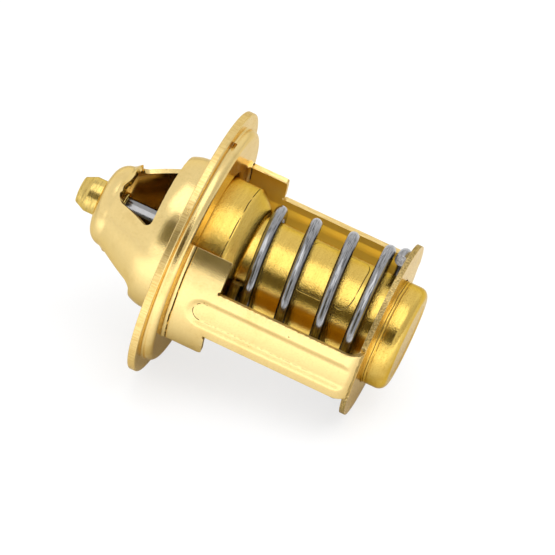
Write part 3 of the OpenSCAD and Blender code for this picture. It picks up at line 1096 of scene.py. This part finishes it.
class VALVE_OT_cage(bpy.types.Operator):
    """Cuts the cage blank, presses its ribs and folds it"""

    bl_idname = "valve.cage"
    bl_label = "Cage"
    bl_options = {"REGISTER", "UNDO"}

    def execute(self, context):
        sizes = context.scene.valve_sizes
        cage = cage_blank(sizes)
        for v in cage.verts:
            v.co = folded(v.co.x, v.co.y, sizes)
        bmesh.ops.mirror(cage, geom=cage.verts[:] + cage.edges[:] + cage.faces[:],
                         matrix=Matrix.Identity(4), merge_dist=0.01, axis="Y")
        bmesh.ops.remove_doubles(cage, verts=cage.verts, dist=0.01)
        # The disc is flat, so its cells join up and leave the edge clean for the bevel
        flat = [e for e in cage.edges if len(e.link_faces) == 2
                and all(abs(v.co.x - DISC_X) < 0.001 for f in e.link_faces for v in f.verts)]
        bmesh.ops.dissolve_limit(cage, angle_limit=0.01, use_dissolve_boundaries=False, verts=[],
                                 edges=flat)
        bmesh.ops.recalc_face_normals(cage, faces=cage.faces)
        disc = max(cage.faces, key=lambda face: face.calc_center_median().x)
        if disc.normal.x < 0:
            bmesh.ops.reverse_faces(cage, faces=cage.faces)
        obj = make_piece("folded_cage", cage, "stamped_brass", "frame", "cage")
        thickened(obj, CAGE_T)
        sharpen(obj, 40)
        baked(obj, "edges", "BEVEL", width=sizes.edge_round * MM, segments=2, limit_method="ANGLE",
              angle_limit=math.radians(55))
        sharpen(obj, 50)
        # inside marks the faces that get painted bounce light, raw the dirt on cut edges
        for label, chosen in (("sheared", is_cut), ("inside", is_inside), ("raw", is_raw)):
            mark_faces(obj, label, chosen)
        even_normals(obj)
        return {"FINISHED"}


class VALVE_OT_spring(bpy.types.Operator):
    """Winds the spring with closed ends"""

    bl_idname = "valve.spring"
    bl_label = "Spring"
    bl_options = {"REGISTER", "UNDO"}

    def execute(self, context):
        sizes = context.scene.valve_sizes
        wire = sizes.wire_diameter / 2
        disc_face = DISC_X - CAGE_T
        pitch = (disc_face - wire - CLOSED_RISE - FIRST_COIL_X) / ACTIVE_TURNS
        closed_pitch = CLOSED_RISE / CLOSED_END

        def eased(turn):
            return (turn + math.sqrt(turn * turn + PITCH_EASE * PITCH_EASE)) / 2

        def centre(turn):
            x = FIRST_COIL_X + pitch * eased(turn) - (pitch - closed_pitch) * eased(turn - ACTIVE_TURNS)
            r = COIL_R + sizes.coil_growth * eased(turn)
            a = math.radians(CREST_ANGLE + 360 * turn)
            return Vector((x, r * math.cos(a), r * math.sin(a)))

        def place(turn, nudge=0.002):
            """Frame of the wire's section: its own axes are outwards, sideways and along the wire."""
            here = centre(turn)
            ahead = (centre(turn + nudge) - centre(turn - nudge)).normalized()
            side = ahead.cross(outward(here)).normalized()
            axes = Matrix((side.cross(ahead), side, ahead)).transposed().to_4x4()
            return Matrix.Translation(here) @ axes

        turns = CLOSED_START + ACTIVE_TURNS + CLOSED_END
        rings = math.ceil(turns * WIRE_RINGS)
        bm = bmesh.new()
        layer = bm.verts.layers.float_vector.new("wire_space")
        ring = bmesh.ops.create_circle(bm, segments=WIRE_SIDES, radius=wire, cap_ends=False)["verts"]
        for v in ring:
            v[layer] = Vector((v.co.x, v.co.y, 0))
        edges = bm.edges[:]
        first = edges
        where = place(-CLOSED_START)
        bmesh.ops.transform(bm, matrix=where, verts=ring)
        travelled = 0.0
        for j in range(1, rings + 1):
            made = bmesh.ops.extrude_edge_only(bm, edges=edges)["geom"]
            ring = [g for g in made if isinstance(g, bmesh.types.BMVert)]
            edges = [g for g in made if isinstance(g, bmesh.types.BMEdge)]
            step = place(-CLOSED_START + turns * j / rings)
            travelled += (step.translation - where.translation).length
            bmesh.ops.transform(bm, matrix=step @ where.inverted(), verts=ring)
            for v in ring:
                local = step.inverted() @ v.co
                v[layer] = Vector((local.x, local.y, travelled))
            where = step
        for loop in (first, edges):
            cap = bmesh.ops.contextual_create(bm, geom=loop)["faces"]
            bmesh.ops.inset_region(bm, faces=cap, thickness=0.12)
        bmesh.ops.recalc_face_normals(bm, faces=bm.faces)
        obj = make_piece("coiled_spring", bm, "spring_steel", "frame", "spring")
        even_normals(obj)
        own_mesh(obj)
        return {"FINISHED"}


class VALVE_OT_cup(bpy.types.Operator):
    """Draws the valve cup"""

    bl_idname = "valve.cup"
    bl_label = "Valve Cup"
    bl_options = {"REGISTER", "UNDO"}

    def execute(self, context):
        # Height that the wall takes up along X on the 45 degree shoulder
        cone = math.tan(math.radians(22.5)) * CUP_T
        shoulder_x, shoulder_r = CUP_X - CUP_SHOULDER, CUP_R - CUP_SHOULDER
        rim_x, hole_r, floor = SEAT_X + 0.05, CAPSULE_R + 0.05, CUP_X - CUP_T
        section = [
            (rim_x, CUP_R, 0.1), (shoulder_x, CUP_R, 1.5), (CUP_X, shoulder_r, 1.3), (CUP_X, hole_r, 0.1),
            (floor, hole_r, 0), (floor, shoulder_r - cone, 0.1), (shoulder_x - cone, CUP_R - CUP_T, 0.3),
            (rim_x, CUP_R - CUP_T, 0.1),
        ]
        even_normals(make_piece("drawn_cup", spun(section), "cup_brass", "valve",
                                "valve_cup"))
        return {"FINISHED"}


class VALVE_OT_capsule(bpy.types.Operator):
    """Draws the capsule that holds the wax"""

    bl_idname = "valve.capsule"
    bl_label = "Capsule"
    bl_options = {"REGISTER", "UNDO"}

    def execute(self, context):
        # The head lies against the cup's floor, and its crimped lip holds the guide bush
        cup_floor, shoulder = CUP_X - CUP_T, 0.75
        dish_x, end_x, wax_r = CAPSULE_X - DISH_DEPTH, CAPSULE_X - CAPSULE_T, CAPSULE_R - CAPSULE_T
        section = [
            (HEAD_X, LIP_R, 0.2), (HEAD_X, HEAD_R, 1.0), (cup_floor - shoulder, HEAD_R, 0.1),
            (cup_floor, HEAD_R - shoulder, 0.1), (cup_floor, CAPSULE_R, 0),
            (GROOVE_X - GROOVE_HALF, CAPSULE_R, 0), (GROOVE_X, CAPSULE_R - 0.09, 0),
            (GROOVE_X + GROOVE_HALF, CAPSULE_R, 0), (CAPSULE_X, CAPSULE_R, 2.3), (CAPSULE_X, DISH_R, 0.3),
            (dish_x, DISH_R - 0.4, 0.3), (dish_x, 0, 0), (end_x, 0, 0), (end_x, wax_r, 1.0),
            (cup_floor - CAPSULE_T, wax_r, 0), (cup_floor - CAPSULE_T, HEAD_R - HEAD_T, 0),
            (HEAD_X + HEAD_T, HEAD_R - HEAD_T, 0), (HEAD_X + HEAD_T, LIP_R, 0),
        ]
        even_normals(make_piece("drawn_capsule", spun(section), "capsule_brass", "valve",
                                "capsule"))
        return {"FINISHED"}


class VALVE_OT_nose(bpy.types.Operator):
    """Turns the nose bush and its rod"""

    bl_idname = "valve.nose"
    bl_label = "Nose and Rod"
    bl_options = {"REGISTER", "UNDO"}

    def execute(self, context):
        # A collar inside the crown holds the bush
        inside, collar_r, sleeve_r = CROWN_X + BONNET_T, 5.4, 4.1
        bush = [
            (NOSE_X, 0, 0), (NOSE_X, NOSE_TIP_R, 0.2), (NOSE_X + 2.6, NOSE_R, 0.2),
            (CROWN_X + 0.02, NOSE_R, 0), (inside, NOSE_R, 0), (inside, collar_r, 0),
            (inside + 1.4, collar_r, 0.3), (inside + 1.4, sleeve_r, 0), (NOSE_END_X, sleeve_r, 0.35),
            (NOSE_END_X, ROD_R, 0), (ROD_X, ROD_R, 0), (ROD_X, 0, 0),
        ]
        even_normals(make_piece("turned_nose_bush", spun(bush, 160), "turned_brass", "frame",
                                "nose_bush"))
        rod = [(ROD_X, 0, 0), (ROD_X, ROD_R, 0), (ROD_END_X - 4, ROD_R, 0.6), (ROD_END_X, 1.4, 0.5),
               (ROD_END_X, 0, 0)]
        even_normals(make_piece("ground_rod", spun(rod, 128), "polished_steel", "frame",
                                "piston_rod"))
        return {"FINISHED"}


class VALVE_OT_inner_parts(bpy.types.Operator):
    """Gives the sealed parts of the wax element their finishes"""

    bl_idname = "valve.inner_parts"
    bl_label = "Inner Parts"
    bl_options = {"REGISTER", "UNDO"}

    def execute(self, context):
        for node, finish in INNER_FINISHES.items():
            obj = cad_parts[node]
            obj.data.materials.clear()
            obj.data.materials.append(finish_of(finish))
        return {"FINISHED"}


# Studio

def paper():
    """Floor paper: white to the camera, and painted duller to the metal, with a painted glow in front that
    only reflections see.
    """
    material = bpy.data.materials.new("floor_paper")
    material.use_nodes = True
    material.node_tree.nodes.clear()
    n = Nodes(material.node_tree)
    path = n.node("LightPath").outputs
    mirrored = path["Is Glossy Ray"]
    matt = n.node("BsdfDiffuse", Color=n.mix(mirrored, (0.93, 0.93, 0.93), (0.60, 0.60, 0.60)))
    glow = n.node("Emission", Color=(1, 1, 1))
    seen = n.most(path["Is Camera Ray"], path["Is Transmission Ray"])
    lit = n.blend(n.times(seen, 0.74), matt.outputs[0], glow.outputs[0])
    # Painted glow: for reflections the floor in front glows, the brightest thing that the metal mirrors
    x, y, _ = n.axes(n.place())
    front = n.times(n.ramp(y, -0.012, -0.085, 0.09, 0.78), n.ramp(x, -0.2, -0.05, 0.4, 1.0))
    painted_glow = n.node("Emission", Strength=n.times(front, mirrored))
    bright = n.node("AddShader", lit, painted_glow.outputs[0]).outputs[0]
    # From below the floor can be looked through
    below = n.node("BsdfTransparent").outputs[0]
    side = n.node("NewGeometry").outputs["Backfacing"]
    n.node("OutputMaterial", n.blend(side, bright, below))
    return material


def lay_floor(tilt):
    """Floor under the lowest points of the flange and the disc."""
    bm = bmesh.new()
    bmesh.ops.create_grid(bm, x_segments=1, y_segments=1, size=FLOOR_SIZE)
    bmesh.ops.rotate(bm, cent=(0, 0, 0), verts=bm.verts, matrix=Matrix.Rotation(-tilt, 3, "Y"))
    up = Vector((-math.sin(tilt), 0, math.cos(tilt)))
    feet = ((0.25, -FLANGE_R), (RIM_T - 0.25, -FLANGE_R), (DISC_X, -DISC_R))
    low = min(up.dot(Vector((x, 0, z))) for x, z in feet)
    bmesh.ops.translate(bm, vec=up * (low * MM - FLOOR_GAP), verts=bm.verts)
    obj = new_object("floor", bm)
    obj.data.materials.append(paper())


def paint_world(scene, studio):
    """White to the camera, with a duller ceiling and right side and a bright front in reflections."""
    scene.world = bpy.data.worlds.new("white_room")
    scene.world.use_nodes = True
    scene.world.node_tree.nodes.clear()
    n = Nodes(scene.world.node_tree)
    path = n.node("LightPath").outputs
    across, depth, height = n.axes(n.node("TexCoord").outputs["Generated"])
    level = n.times(n.ramp(height, 0.0, 0.6, 1.0, studio.ceiling_level),
                    n.ramp(across, 0.25, 0.7, 1.0, 0.76))
    front = n.times(n.ramp(depth, -0.75, -0.95, 0.0, 0.45), n.ramp(height, 0.3, 0.12))
    level = n.add(level, front)
    room = n.node("Background", Color=(1, 1, 1), Strength=studio.sky_level)
    white = n.node("Background", Color=n.mix(path["Is Glossy Ray"], (1, 1, 1), level), Strength=1.0)
    seen = n.most(path["Is Camera Ray"], n.most(path["Is Glossy Ray"], path["Is Transmission Ray"]))
    n.node("OutputWorld", n.blend(seen, room.outputs[0], white.outputs[0]))


def hang_lamp(name, place, width, depth, level):
    """Area lamp over the object; level is the brightness of its face."""
    data = bpy.data.lights.new(name, "AREA")
    data.shape = "RECTANGLE"
    data.size = width
    data.size_y = depth
    data.energy = level * math.pi * width * depth
    obj = bpy.data.objects.new(name, data)
    obj.location = place
    obj.rotation_euler = (LAMP_AIM - place).to_track_quat("-Z", "Y").to_euler()
    bpy.context.scene.collection.objects.link(obj)
    return obj


def hang_flag(name, azimuth, height, width, tall, far_colour=CARD):
    """Dark brown card that only reflections see, beside the camera.

    azimuth turns it towards +X and height lifts it across the axis, both in degrees.
    far_colour is its colour on the side of the nose.
    """
    along, a = Vector((1, 0, 0)), math.radians(azimuth)
    way = along * math.sin(a) + near_side(height).normalized() * math.cos(a)
    turn = Matrix((along, way.cross(along).normalized(), way)).transposed().to_4x4()
    bm = bmesh.new()
    bmesh.ops.create_grid(bm, x_segments=1, y_segments=1, size=0.5)
    bmesh.ops.scale(bm, vec=(width, tall, 1), verts=bm.verts)
    bmesh.ops.transform(bm, matrix=Matrix.Translation(way * FLAG_DISTANCE + FLAG_AIM) @ turn,
                        verts=bm.verts)
    obj = new_object(name, bm)
    material, n, shader = plain_material(name, metallic=0.0)
    paler = n.ramp(n.axes(n.place())[0], -0.028, -0.052)
    n.feed(shader["Base Color"], n.mix(paler, CARD, far_colour))
    n.feed(shader["Roughness"], 1.0)
    obj.data.materials.append(material)
    obj.visible_camera = False
    obj.visible_shadow = False
    obj.visible_diffuse = False


class VALVE_OT_studio(bpy.types.Operator):
    """Sets up the floor, lamps, world and camera"""

    bl_idname = "valve.studio"
    bl_label = "Studio"
    bl_options = {"REGISTER", "UNDO"}

    def execute(self, context):
        scene = context.scene
        studio = scene.valve_studio
        scene.view_settings.view_transform = "Standard"
        lay_floor(studio.floor_tilt)
        paint_world(scene, studio)
        hang_lamp("overhead_lamp", Vector((-0.05, -0.11, 0.62)), 0.62, 0.54, studio.lamp_level)
        fill = hang_lamp("fill_lamp", Vector((0.1, -0.2, 0.7)), 0.7, 0.5, studio.fill_level)
        fill.visible_glossy = False
        hang_flag("camera_flag", azimuth=-8, height=-5, width=0.27, tall=0.25, far_colour=CARD_AT_NOSE)
        hang_flag("cup_flag", azimuth=-10.2, height=15.5, width=0.06, tall=0.165)
        data = bpy.data.cameras.new("camera")
        data.lens = studio.camera_lens
        data.sensor_width = 36
        data.clip_end = 50
        camera = bpy.data.objects.new("camera", data)
        camera.location = studio.camera_place
        camera.rotation_euler = studio.camera_turn
        scene.collection.objects.link(camera)
        scene.camera = camera
        return {"FINISHED"}


class VALVE_PT_panel(bpy.types.Panel):
    """Lists the settings and the steps that build the valve"""

    bl_label = "Coolant Valve Insert"
    bl_idname = "VALVE_PT_panel"
    bl_space_type = "VIEW_3D"
    bl_region_type = "UI"
    bl_category = "Valve"

    def draw(self, context):
        for name, settings_class in SETTINGS.items():
            box = self.layout.box()
            settings = getattr(context.scene, name)
            for key in settings_class.__annotations__:
                box.prop(settings, key)
        for builder in BUILDERS:
            self.layout.operator(builder.bl_idname)


SETTINGS = {"valve_sizes": ValveSizes, "valve_finishes": ValveFinishes, "valve_studio": ValveStudio}
BUILDERS = (
    VALVE_OT_studio, VALVE_OT_bonnet, VALVE_OT_flange, VALVE_OT_cage, VALVE_OT_spring, VALVE_OT_cup,
    VALVE_OT_capsule, VALVE_OT_nose, VALVE_OT_inner_parts,
)


def register():
    for cls in (*SETTINGS.values(), *BUILDERS, VALVE_PT_panel):
        bpy.utils.register_class(cls)
    for name, cls in SETTINGS.items():
        setattr(bpy.types.Scene, name, bpy.props.PointerProperty(type=cls))


def unregister():
    for name in SETTINGS:
        delattr(bpy.types.Scene, name)
    for cls in reversed((*SETTINGS.values(), *BUILDERS, VALVE_PT_panel)):
        bpy.utils.unregister_class(cls)


def main():
    register()
    bpy.ops.valve.studio()
    bpy.ops.valve.bonnet()
    bpy.ops.valve.flange()
    bpy.ops.valve.cage()
    bpy.ops.valve.spring()
    bpy.ops.valve.cup()
    bpy.ops.valve.capsule()
    bpy.ops.valve.nose()
    bpy.ops.valve.inner_parts()


if __name__ == "__main__":
    main()
